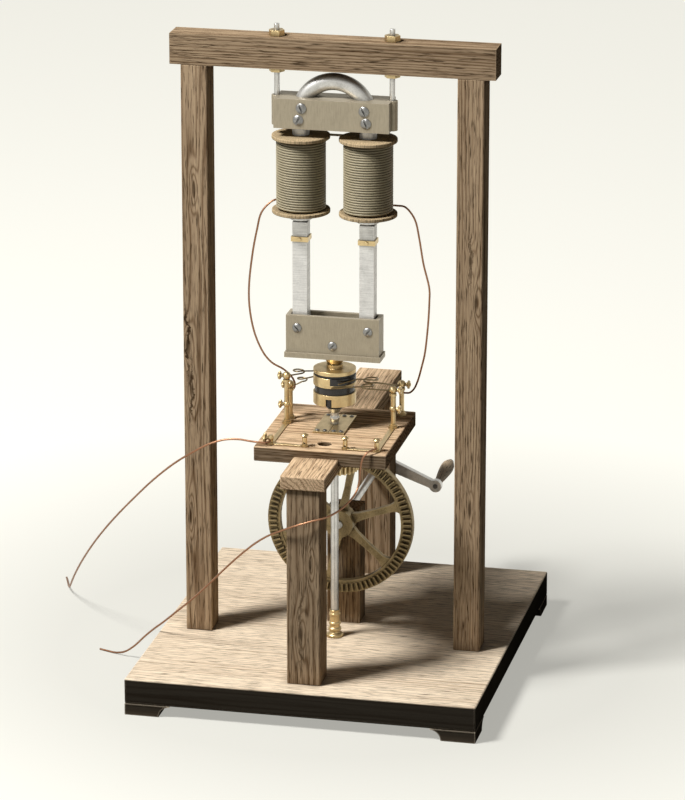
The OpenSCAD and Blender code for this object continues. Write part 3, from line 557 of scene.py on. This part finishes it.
def wood_group():
    """Growth lines, fibres and pores along Z of the given vector; stain with painted shade below the top,
    grime with painted corner shade, and rubbed edges with a painted highlight.
    """
    tree, given, out = new_group(
        "Wood figure",
        [("Vector", VECTOR, None), ("Place", VECTOR, None), ("Light", COLOUR, (0.4, 0.3, 0.2, 1)),
         ("Dark", COLOUR, (0.1, 0.06, 0.03, 1)), ("Lines", FLOAT, 1500.0), ("Bulge", FLOAT, 0.0),
         ("Heart", FLOAT, 0.0), ("Top", FLOAT, -1.0), ("Stain", FLOAT, 0.0), ("Crease", FLOAT, 0.0),
         ("Edge", FLOAT, 0.0)],
        [("Color", COLOUR), ("Roughness", FLOAT), ("Height", FLOAT)])
    vector = given.outputs["Vector"]
    light = given.outputs["Light"]
    dark = given.outputs["Dark"]
    heart = given.outputs["Heart"]

    # Growth lines
    ring = vector_node(tree, "LENGTH", vector_node(tree, "MULTIPLY", vector, (1, 1, 0)))
    sway = minus(tree, noise(tree, vector, scale=28.0, detail=3.0), NOISE_MIDDLE)
    ring = plus(tree, ring, times(tree, sway, SWAY))
    ring = plus(tree, ring, times(tree, noise(tree, vector, scale=110.0, detail=1.0), UNEVEN))
    ring = plus(tree, ring, times(tree, given.outputs["Bulge"], KNOT_BEND))
    swing = math_node(tree, "SINE", times(tree, ring, given.outputs["Lines"]))
    swing = plus(tree, times(tree, swing, 0.5), 0.5)
    fade = stretch(tree, noise(tree, vector, scale=40.0, detail=2.0), low=0.30, high=0.66)
    fade = plus(tree, times(tree, fade, LINE_FADE), LINE_KEEP)
    lines = times(tree, math_node(tree, "POWER", swing, LINE_CONTRAST), fade)

    # Streaks, fibres and pores
    streak = stretch(tree, noise(tree, vector, scale=70.0, roughness=0.6), low=0.30, high=0.72)
    fibre = stretch(tree, noise(tree, vector, scale=520.0, roughness=0.65), low=0.32, high=0.72)
    pores = stretch(tree, noise(tree, vector, scale=1150.0, detail=2.0), low=0.54, high=0.66)
    blend = times(tree, lines, LINE_SHARE)
    blend = plus(tree, blend, times(tree, streak, STREAK_SHARE))
    blend = plus(tree, blend, times(tree, fibre, FIBRE_SHARE))
    ground = mix_colour(tree, blend, light, dark)
    dim = mix_colour(tree, PORE_DARK, dark, BLACK)
    shade = mix_colour(tree, times(tree, pores, PORE_SHARE), ground, dim)
    shade = mix_colour(tree, times(tree, heart, HEART_SHARE), shade, dim)

    # Stain with painted shade below the top, grime with painted corner shade, and rubbed edges with a
    # painted highlight
    below = minus(tree, given.outputs["Top"], split_vector(tree, given.outputs["Place"])["Z"])
    stained_and_shaded = times(tree, stretch(tree, below, STAIN_AND_SHADE_FROM, STAIN_AND_SHADE_TO), given.outputs["Stain"])
    # Sides below the top darkened: stain and painted shade
    shade = mix_colour(tree, stained_and_shaded, shade, mix_colour(tree, STAIN_AND_SHADE_DARK, ground, BLACK))
    # Painted shade in the creases, with grime
    shade = mix_colour(tree, times(tree, given.outputs["Crease"], WOOD_GRIME_AND_SHADE), shade, dim)
    # Rubbed edges lightened towards the pale wood: wear and a painted highlight
    rubbed_and_highlight = times(tree, given.outputs["Edge"], WOOD_RUB_AND_HIGHLIGHT)
    shade = mix_colour(tree, rubbed_and_highlight, shade, light)
    tree.links.new(shade, out.inputs["Color"])

    # Roughness and relief
    rough = plus(tree, WOOD_ROUGH, times(tree, blend, WOOD_ROUGH_GAIN))
    rough = minus(tree, rough, times(tree, rubbed_and_highlight, WOOD_RUB_SHINE))
    tree.links.new(rough, out.inputs["Roughness"])
    relief = plus(tree, times(tree, blend, WOOD_LOW_LINES), times(tree, pores, WOOD_LOW_PORES))
    relief = minus(tree, relief, times(tree, heart, WOOD_LOW_HEART))
    tree.links.new(relief, out.inputs["Height"])
    return tree


def metal_group():
    """Soft tarnish, fine tool lines, grime and painted shade in the corners, and rubbed edges."""
    tree, given, out = new_group(
        "Aged metal",
        [("Vector", VECTOR, None), ("Place", VECTOR, None), ("Metal", COLOUR, (0.7, 0.5, 0.3, 1)),
         ("Tarnish", COLOUR, (0.3, 0.2, 0.1, 1)), ("Amount", FLOAT, 0.5), ("Polish", FLOAT, 0.25),
         ("Tooling", FLOAT, 0.3), ("Crease", FLOAT, 0.0), ("Edge", FLOAT, 0.0)],
        [("Color", COLOUR), ("Roughness", FLOAT), ("Height", FLOAT)])
    place = given.outputs["Place"]
    cloud = noise(tree, place, scale=75.0, detail=5.0, roughness=0.6)
    cloud = stretch(tree, cloud, low=0.36, high=0.72)
    fleck = stretch(tree, noise(tree, place, scale=620.0, detail=3.0), low=0.46, high=0.76)
    tool = noise(tree, given.outputs["Vector"], scale=1500.0, detail=3.0, roughness=0.65)
    cut = times(tree, stretch(tree, tool, low=0.40, high=0.66), given.outputs["Tooling"])
    worn = plus(tree, times(tree, cloud, CLOUD_SHARE), times(tree, fleck, FLECK_SHARE))
    worn = plus(tree, times(tree, worn, given.outputs["Amount"]), cut)
    worn = times(tree, worn, minus(tree, 1.0, times(tree, given.outputs["Edge"], METAL_RUB)))
    # Tarnish pushed into the corners by occlusion: grime and painted shade
    grime_and_shade = times(tree, given.outputs["Crease"], METAL_GRIME_AND_SHADE)
    mask = math_node(tree, "MINIMUM", plus(tree, worn, grime_and_shade), 1.0)
    colour = mix_colour(tree, mask, given.outputs["Metal"], given.outputs["Tarnish"])
    tree.links.new(colour, out.inputs["Color"])
    rough = plus(tree, given.outputs["Polish"], times(tree, mask, TARNISH_ROUGH))
    rough = plus(tree, rough, times(tree, tool, TOOL_ROUGH))
    tree.links.new(rough, out.inputs["Roughness"])
    relief = plus(tree, times(tree, tool, TOOL_RELIEF), times(tree, cloud, CLOUD_RELIEF))
    tree.links.new(relief, out.inputs["Height"])
    return tree


# Materials

def open_material(name, group, squeeze, turn, shift, reach):
    """A material with its shader, a group, corner wear and painted corner shade within a reach in
    millimetres, and a bump.
    """
    mat = bpy.data.materials.new(name)
    mat.use_nodes = True
    tree = mat.node_tree
    link = tree.links.new
    shader = tree.nodes["Principled BSDF"]
    place = add_node(tree, "ShaderNodeTexCoord")
    fit = add_node(tree, "ShaderNodeMapping")
    set_inputs(fit, {"Scale": squeeze, "Rotation": turn, "Location": shift})
    link(place.outputs["Object"], fit.inputs["Vector"])
    figure = add_node(tree, "ShaderNodeGroup", node_tree=group)
    link(fit.outputs["Vector"], figure.inputs["Vector"])
    link(place.outputs["Object"], figure.inputs["Place"])
    corner_shade_and_wear = add_node(tree, "ShaderNodeGroup", node_tree=shared_group("Corner wear", shade_and_wear_group))
    corner_shade_and_wear.inputs["Reach"].default_value = reach * MM
    link(corner_shade_and_wear.outputs["Crease"], figure.inputs["Crease"])
    link(corner_shade_and_wear.outputs["Edge"], figure.inputs["Edge"])
    bump = add_node(tree, "ShaderNodeBump")
    link(figure.outputs["Height"], bump.inputs["Height"])
    link(figure.outputs["Color"], shader.inputs["Base Color"])
    link(figure.outputs["Roughness"], shader.inputs["Roughness"])
    link(bump.outputs["Normal"], shader.inputs["Normal"])
    return mat, figure, shader, bump


def add_knots(tree, figure, knots):
    """Knots that bend and darken a wood's figure."""
    place = figure.inputs["Place"].links[0].from_socket
    bulge = 0.0
    heart = 0.0
    for centre, reach, split in knots:
        knot = add_node(tree, "ShaderNodeGroup", node_tree=shared_group("Wood knot", knot_group))
        knot.inputs["Centre"].default_value = tuple(v * MM for v in centre)
        knot.inputs["Reach"].default_value = tuple(v * MM for v in reach)
        knot.inputs["Split"].default_value = split
        tree.links.new(place, knot.inputs["Place"])
        bulge = plus(tree, knot.outputs["Bulge"], bulge)
        heart = math_node(tree, "MAXIMUM", knot.outputs["Heart"], heart)
    tree.links.new(bulge, figure.inputs["Bulge"])
    tree.links.new(heart, figure.inputs["Heart"])


def wood(name, light, dark, grain, pitch=3.6, pith=(0.15, 0.06), top=None, stain=0.0, knots=(),
         coat=0.0):
    """Oiled wood: its grain, growth lines round the tree's middle, and edges below a top darkened as
    stain and painted shade.
    """
    squeeze = tuple(GRAIN_STRETCH if axis == grain else 1.0 for axis in "XYZ")
    group = shared_group("Wood figure", wood_group)
    mat, figure, shader, bump = open_material(
        name, group, squeeze, GRAIN_TURN[grain], (*pith, 0), WOOD_REACH)
    set_inputs(figure, {"Light": light, "Dark": dark, "Lines": math.tau / (pitch * MM)})
    if top is not None:
        set_inputs(figure, {"Top": top * MM, "Stain": stain})
    if knots:
        add_knots(mat.node_tree, figure, knots)
    set_inputs(bump, {"Strength": WOOD_BUMP, "Distance": WOOD_BUMP_DEPTH})
    set_inputs(shader, {"Specular IOR Level": 0.0, "Coat Weight": coat,
                        "Coat Roughness": VARNISH_ROUGH})
    return mat


def metal(name, colour, tarnish, amount, polish, metallic=1.0, tooling=0.15, squeeze=(1, 1, 1),
          reach=5.0):
    """Metal, or another hard finish, with soft tarnish, tool lines, and grime with painted shade near its
    corners.
    """
    group = shared_group("Aged metal", metal_group)
    mat, figure, shader, bump = open_material(name, group, squeeze, (0, 0, 0), (0, 0, 0), reach)
    set_inputs(figure, {"Metal": colour, "Tarnish": tarnish, "Amount": amount, "Polish": polish,
                        "Tooling": tooling})
    set_inputs(bump, {"Strength": METAL_BUMP, "Distance": METAL_BUMP_DEPTH})
    shader.inputs["Metallic"].default_value = metallic
    return mat


def finish_named(context, name):
    """The material of that name, made at its first use."""
    full_name = name + "_finish"
    if full_name in bpy.data.materials:
        return bpy.data.materials[full_name]

    def tone(setting, share):
        return (*(c * share for c in getattr(context.scene.machine_finish, setting)), 1.0)

    if name in WOODS:
        look = dict(WOODS[name])
        return wood(full_name, tone(*look.pop("light")), tone(*look.pop("dark")), **look)
    look = dict(METALS[name])
    setting = look.pop("colour")
    bright = tone(setting, look.pop("bright", 1.0))
    return metal(full_name, bright, tone(setting, look.pop("dull")), **look)


# Building pieces

def body_of(node):
    """The body that a CAD node belongs to."""
    for body, nodes in frame["record"]["behaviour"]["bodies"].items():
        if node in nodes:
            return body
    raise ValueError("no body holds " + node)


def place_piece(data, material, node):
    """A finished mesh or curve as the piece that stands for a CAD node."""
    data.materials.append(material)
    piece = bpy.data.objects.new(node + "_finished", data)
    bpy.context.scene.collection.objects.link(piece)
    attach(piece, body_of(node))
    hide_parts(node)
    return piece


def close_mesh(bm, node, sharp_angle):
    """The mesh of a finished bmesh, smooth but for its sharp edges."""
    for face in bm.faces:
        face.smooth = True
    mesh = bpy.data.meshes.new(node + "_finished")
    bm.to_mesh(mesh)
    bm.free()
    mesh.set_sharp_from_angle(angle=sharp_angle)
    return mesh


def dress(node, material, width):
    """A copy of a CAD solid with eased edges and smooth round faces."""
    bm = bmesh.new()
    bm.from_mesh(frame["nodes"][node].data)
    bmesh.ops.remove_doubles(bm, verts=bm.verts, dist=SOLID_MERGE)
    bmesh.ops.dissolve_limit(bm, angle_limit=FLAT_ANGLE, verts=bm.verts, edges=bm.edges)
    mesh = close_mesh(bm, node, SHARP_ANGLE)
    mesh.materials.clear()
    piece = place_piece(mesh, material, node)
    ease = piece.modifiers.new("Eased edges", "BEVEL")
    ease.width = width
    ease.segments = EASE_SEGMENTS
    ease.limit_method = "ANGLE"
    ease.angle_limit = SHARP_ANGLE
    even = piece.modifiers.new("Even shading", "WEIGHTED_NORMAL")
    even.keep_sharp = True


def turned(outline, place, material, node, knurled, notches):
    """A turned piece from its outline of (radius, height) in millimetres, with knurls at one radius."""
    steps = notches * 2
    bm = bmesh.new()
    verts = [bm.verts.new((r * MM, 0, z * MM)) for r, z in outline]
    edges = [bm.edges.new(pair) for pair in zip(verts, verts[1:])]
    bmesh.ops.spin(bm, geom=verts + edges, cent=(0, 0, 0), axis=(0, 0, 1), angle=math.tau,
                   steps=steps, use_merge=True)
    bmesh.ops.remove_doubles(bm, verts=bm.verts, dist=TURNED_MERGE)
    for vert in bm.verts:
        r = math.hypot(vert.co.x, vert.co.y) / MM
        turn = round(math.atan2(vert.co.y, vert.co.x) / math.tau * steps)
        if abs(r - knurled) < KNURL_MATCH and turn % 2:
            vert.co.x *= KNURL_FLOOR
            vert.co.y *= KNURL_FLOOR
    bmesh.ops.recalc_face_normals(bm, faces=bm.faces)
    bmesh.ops.transform(bm, matrix=place, verts=bm.verts)
    place_piece(close_mesh(bm, node, TURNED_SHARP_ANGLE), material, node)


def wire(lines, diameter, material, node):
    """Round wire along one or more lines, standing for a CAD node."""
    curve = bpy.data.curves.new(node + "_finished", "CURVE")
    curve.dimensions = "3D"
    curve.bevel_depth = diameter / 2
    curve.bevel_resolution = WIRE_ROUND
    curve.use_fill_caps = True
    for line in lines:
        spline = curve.splines.new("POLY")
        spline.points.add(len(line) - 1)
        for point, place in zip(spline.points, line):
            point.co = (*place, 1.0)
    return place_piece(curve, material, node)


def smooth_line(points):
    """Points on one smooth curve through the given ones, in metres."""
    p = [Vector(q) * MM for q in points]
    line = []
    for i in range(len(p) - 1):
        a, b, c, d = p[max(i - 1, 0)], p[i], p[i + 1], p[min(i + 2, len(p) - 1)]
        for k in range(ROUTE_STEPS):
            t = k / ROUTE_STEPS
            line.append(0.5 * (2 * b + (c - a) * t + (2 * a - 5 * b + 4 * c - d) * t ** 2
                               + (3 * b - a - 3 * c + d) * t ** 3))
    line.append(p[-1])
    return line


class MACHINE_OT_woodwork(bpy.types.Operator):
    """Base, gallows, bearer, table, bobbins and grip"""

    bl_idname = "machine.woodwork"
    bl_label = "Woodwork"

    def execute(self, context):
        width = context.scene.machine_sizes.wood_ease
        for name, (nodes, share) in WOODWORK.items():
            for node in nodes:
                dress(node, finish_named(context, name), width * share)
        return {"FINISHED"}


class MACHINE_OT_metalwork(bpy.types.Operator):
    """Brass fittings, steel shafts, the magnet, the iron core and the insulator"""

    bl_idname = "machine.metalwork"
    bl_label = "Metalwork"

    def execute(self, context):
        width = context.scene.machine_sizes.metal_ease
        for name, nodes in METALWORK.items():
            for node in nodes:
                dress(node, finish_named(context, name), width)
        return {"FINISHED"}


class MACHINE_OT_thumbscrews(bpy.types.Operator):
    """Knurled thumbscrews of the brush posts and of the left terminal"""

    bl_idname = "machine.thumbscrews"
    bl_label = "Thumbscrews"

    @staticmethod
    def outline(shank, disc):
        """Radius and height, in millimetres, from the shank's end to the rounded tip."""
        head = [(NECK_R - 0.1, 0), (NECK_R, 0.3), (NECK_R, 1.2), (disc - RIM_CHAMFER, 1.5),
                (disc, 2.0), (disc, 3.2), (disc - RIM_CHAMFER, 3.8), (2.6, 3.6), (1.9, 3.8),
                (SHANK_R, 4.7), (0, 5.1)]
        return [(0, 0), (SHANK_R, 0), (SHANK_R, shank)] + [(r, shank + z) for r, z in head]

    def execute(self, context):
        notches = context.scene.machine_sizes.knurls
        screws = {"terminal_screw_1": (BRUSHES[0][0], TERMINAL_Y, TERMINAL_SCREW_H, TERMINAL_BOSS_R,
                                       TERMINAL_DISC_R)}
        for i, (x, behind, head, *_) in enumerate(BRUSHES):
            screws["brush_screw_%d" % (i + 1)] = (x, SPINDLE_Y + behind, head, HEAD_R, BRUSH_DISC_R)
        for number, (x, behind, *_) in ((5, BRUSHES[0]), (6, BRUSHES[2])):
            screws["brush_screw_%d" % number] = (x, SPINDLE_Y + behind, LOWER_SCREW_H, LOWER_BOSS_R,
                                                 BRUSH_DISC_R)
        for node, (x, y, high, boss, disc) in screws.items():
            out = 1 if x > 0 else -1
            start = Vector((x + out * SHANK_START, y, TABLE_TOP + high)) * MM
            place = Matrix.Translation(start) @ Matrix.Rotation(out * math.pi / 2, 4, "Y")
            outline = self.outline(boss - SHANK_START + PASS_GAP, disc)
            turned(outline, place, finish_named(context, "brass"), node, disc, notches)
        return {"FINISHED"}


class MACHINE_OT_coils(bpy.types.Operator):
    """Covered wire wound on the two bobbins, with the link between them"""

    bl_idname = "machine.coils"
    bl_label = "Coils"

    def execute(self, context):
        sizes = context.scene.machine_sizes
        count = sizes.coil_turns * COIL_STEPS
        line = [Vector((-POLE_X - WIND_TAIL, SPINDLE_Y + WIND_R, WIND_LOW)) * MM]
        for i in range(count + 1):
            a = math.pi / 2 - math.tau * i / COIL_STEPS
            x = WIND_R * math.cos(a) - POLE_X
            y = SPINDLE_Y + WIND_R * math.sin(a)
            z = WIND_LOW + (WIND_HIGH - WIND_LOW) * i / count
            line.append(Vector((x, y, z)) * MM)
        line.append(Vector((0, SPINDLE_Y + WIND_R, WIND_HIGH)) * MM)
        flipped = [Vector((-p.x, p.y, p.z)) for p in line]
        for node, path in (("left_winding", line), ("right_winding", flipped)):
            wire([path], sizes.coil_wire, finish_named(context, "silk"), node)
        return {"FINISHED"}


class MACHINE_OT_springs(bpy.types.Operator):
    """Brush springs, each with one curl, from the posts to the commutator"""

    bl_idname = "machine.springs"
    bl_label = "Brush springs"

    @staticmethod
    def spring_line(x, behind, head, level, curl_r, curl_at, past):
        """From a post's head, round one curl behind the spring, and along the ring that it touches."""
        post = Vector((x, behind))
        touch_r = RING_R + SPRING_D / 2 + PASS_GAP
        a = math.atan2(behind, x) - math.acos(touch_r / post.length)
        near = touch_r * Vector((math.cos(a), math.sin(a)))
        u = (near - post).normalized()
        rear = Vector((-u.y, u.x)) * math.copysign(1, u.x)
        curl = post + u * curl_at + rear * curl_r
        curl_z = head + (level - head) * curl_at / (near - post).length

        def lift(p, z):
            return Vector((p.x, SPINDLE_Y + p.y, TABLE_TOP + z)) * MM

        line = [lift(post + u * HEAD_R, head), lift(post + u * (HEAD_R + SPRING_START), head)]
        for k in range(CURL_STEPS + 1):
            t = math.tau * k / CURL_STEPS
            round_curl = curl + curl_r * (u * math.sin(t) - rear * math.cos(t))
            line.append(lift(round_curl, curl_z + CURL_RISE * k / CURL_STEPS))
        line.append(lift(near - u * SPRING_RUN, level))
        line.append(lift(near, level))
        line.append(lift(near + u * past, level))
        return line

    def execute(self, context):
        for side, node in ((-1, "left_brush_springs"), (1, "right_brush_springs")):
            lines = [self.spring_line(*b) for b in BRUSHES if b[0] * side > 0]
            wire(lines, SPRING_D * MM, finish_named(context, "spring_brass"), node)
        return {"FINISHED"}


class MACHINE_OT_wires(bpy.types.Operator):
    """Stiff bare wires from the coils to the brush posts, and the two free leads"""

    bl_idname = "machine.wires"
    bl_label = "Wires"

    def execute(self, context):
        for node, route in ROUTES.items():
            line = smooth_line(route)
            piece = wire([line], WIRE_D * MM, finish_named(context, "copper"), node)
        return {"FINISHED"}


class MACHINE_OT_stage(bpy.types.Operator):
    """Pale floor, soft light and the camera"""

    bl_idname = "machine.stage"
    bl_label = "Stage"

    @staticmethod
    def seen_rays(tree):
        """1 for rays from the camera, and for those that metal or glass sends on."""
        rays = add_node(tree, "ShaderNodeLightPath")
        shown = math_node(tree, "MAXIMUM", rays.outputs["Is Camera Ray"], rays.outputs["Is Glossy Ray"])
        return math_node(tree, "MAXIMUM", shown, rays.outputs["Is Transmission Ray"])

    def show(self, tree, lit, seen, end):
        """One shader where it only lights the machine, and another where it is seen."""
        both = add_node(tree, "ShaderNodeMixShader")
        tree.links.new(self.seen_rays(tree), both.inputs[0])
        tree.links.new(lit.outputs[0], both.inputs[1])
        tree.links.new(seen.outputs[0], both.inputs[2])
        tree.links.new(both.outputs[0], tree.nodes[end].inputs["Surface"])

    def floor(self, paper):
        """A matte floor that keeps the shadow, with its own glow that grows away from the machine; the
        weaker glow near the machine is painted shade.
        """
        bm = bmesh.new()
        bmesh.ops.create_grid(bm, x_segments=1, y_segments=1, size=FLOOR_REACH)
        mesh = bpy.data.meshes.new("floor")
        bm.to_mesh(mesh)
        bm.free()
        mat = bpy.data.materials.new("pale_floor")
        mat.use_nodes = True
        tree = mat.node_tree
        tree.nodes.remove(tree.nodes["Principled BSDF"])
        matte = add_node(tree, "ShaderNodeBsdfDiffuse")
        matte.inputs["Color"].default_value = (*(FLOOR_MATTE * c for c in paper), 1)
        shaded = add_node(tree, "ShaderNodeBsdfDiffuse")
        shaded.inputs["Color"].default_value = (*(FLOOR_SHADED * c for c in paper), 1)
        place = add_node(tree, "ShaderNodeTexCoord")
        away = vector_node(tree, "LENGTH", place.outputs["Object"])
        # Weaker glow near the machine: painted shade round it on the floor
        past_painted_shade = stretch(tree, away, GLOW_FROM, GLOW_TO)
        glow = add_node(tree, "ShaderNodeEmission")
        glow.inputs["Color"].default_value = (*paper, 1)
        strength = plus(tree, times(tree, past_painted_shade, GLOW_GAIN), SHADED_GLOW_NEAR)
        tree.links.new(strength, glow.inputs["Strength"])
        pale = add_node(tree, "ShaderNodeAddShader")
        tree.links.new(shaded.outputs[0], pale.inputs[0])
        tree.links.new(glow.outputs[0], pale.inputs[1])
        self.show(tree, matte, pale, "Material Output")
        mesh.materials.append(mat)
        floor = bpy.data.objects.new("floor", mesh)
        bpy.context.scene.collection.objects.link(floor)

    def surroundings(self, paper, strength):
        """Pale at the horizon and greyer overhead where it is seen, and an even weak light."""
        world = bpy.data.worlds.new("surroundings")
        world.use_nodes = True
        tree = world.node_tree
        even = tree.nodes["Background"]
        set_inputs(even, {"Color": SKY_LIGHT, "Strength": strength})
        way = add_node(tree, "ShaderNodeTexCoord")
        high = stretch(tree, split_vector(tree, way.outputs["Generated"])["Z"], SKY_FROM, SKY_TO)
        shown = add_node(tree, "ShaderNodeBackground")
        tree.links.new(mix_colour(tree, high, (*paper, 1), SKY_OVERHEAD), shown.inputs["Color"])
        self.show(tree, even, shown, "World Output")
        bpy.context.scene.world = world

    @staticmethod
    def lamp(name, place, size, power):
        """A round soft lamp that points at the machine."""
        data = bpy.data.lights.new(name, "AREA")
        data.shape = "DISK"
        data.size = size
        data.energy = power
        lamp = bpy.data.objects.new(name, data)
        lamp.location = place
        lamp.rotation_euler = (Vector(LAMP_AIM) - Vector(place)).to_track_quat("-Z", "Y").to_euler()
        bpy.context.scene.collection.objects.link(lamp)

    @staticmethod
    def camera(settings):
        """The camera at its distance from the target."""
        data = bpy.data.cameras.new("camera")
        data.sensor_fit = "VERTICAL"
        data.sensor_height = SENSOR_HEIGHT
        data.lens = settings.lens
        data.clip_end = CLIP_END
        camera = bpy.data.objects.new("camera", data)
        level = math.cos(settings.elevation)
        back = Vector((math.sin(settings.azimuth) * level, -math.cos(settings.azimuth) * level,
                       math.sin(settings.elevation)))
        camera.location = Vector(settings.target) + back * settings.distance
        camera.rotation_euler = (-back).to_track_quat("-Z", "Y").to_euler()
        bpy.context.scene.collection.objects.link(camera)
        bpy.context.scene.camera = camera

    def execute(self, context):
        settings = context.scene.machine_stage
        context.scene.view_settings.view_transform = "Standard"
        self.floor(tuple(settings.paper))
        self.lamp("key_light", KEY_PLACE, KEY_SIZE, settings.key)
        self.lamp("fill_light", FILL_PLACE, FILL_SIZE, settings.fill)
        self.surroundings(tuple(settings.paper), settings.sky)
        self.camera(settings)
        return {"FINISHED"}


class MACHINE_PT_panel(bpy.types.Panel):
    """Lists the machine's steps and settings"""

    bl_label = "Magneto-electric machine"
    bl_idname = "MACHINE_PT_panel"
    bl_space_type = "VIEW_3D"
    bl_region_type = "UI"
    bl_category = "Machine"

    def draw(self, context):
        for operator in OPERATORS:
            self.layout.operator(operator.bl_idname)
        for setting in SETTINGS:
            group = getattr(context.scene, setting)
            for name in group.__annotations__:
                self.layout.prop(group, name)


SETTINGS = {"machine_finish": MachineFinish, "machine_sizes": MachineSizes,
            "machine_stage": StageSettings}
OPERATORS = (MACHINE_OT_stage, MACHINE_OT_wires, MACHINE_OT_woodwork, MACHINE_OT_metalwork,
             MACHINE_OT_thumbscrews, MACHINE_OT_coils, MACHINE_OT_springs)


def register():
    for cls in (*SETTINGS.values(), *OPERATORS, MACHINE_PT_panel):
        bpy.utils.register_class(cls)
    for name, cls in SETTINGS.items():
        setattr(bpy.types.Scene, name, bpy.props.PointerProperty(type=cls))


def unregister():
    for name in SETTINGS:
        delattr(bpy.types.Scene, name)
    for cls in reversed((*SETTINGS.values(), *OPERATORS, MACHINE_PT_panel)):
        bpy.utils.unregister_class(cls)


def main():
    register()
    bpy.ops.machine.stage()
    bpy.ops.machine.wires()
    bpy.ops.machine.woodwork()
    bpy.ops.machine.metalwork()
    bpy.ops.machine.thumbscrews()
    bpy.ops.machine.coils()
    bpy.ops.machine.springs()
    bpy.context.view_layer.update()


if __name__ == "__main__":
    main()
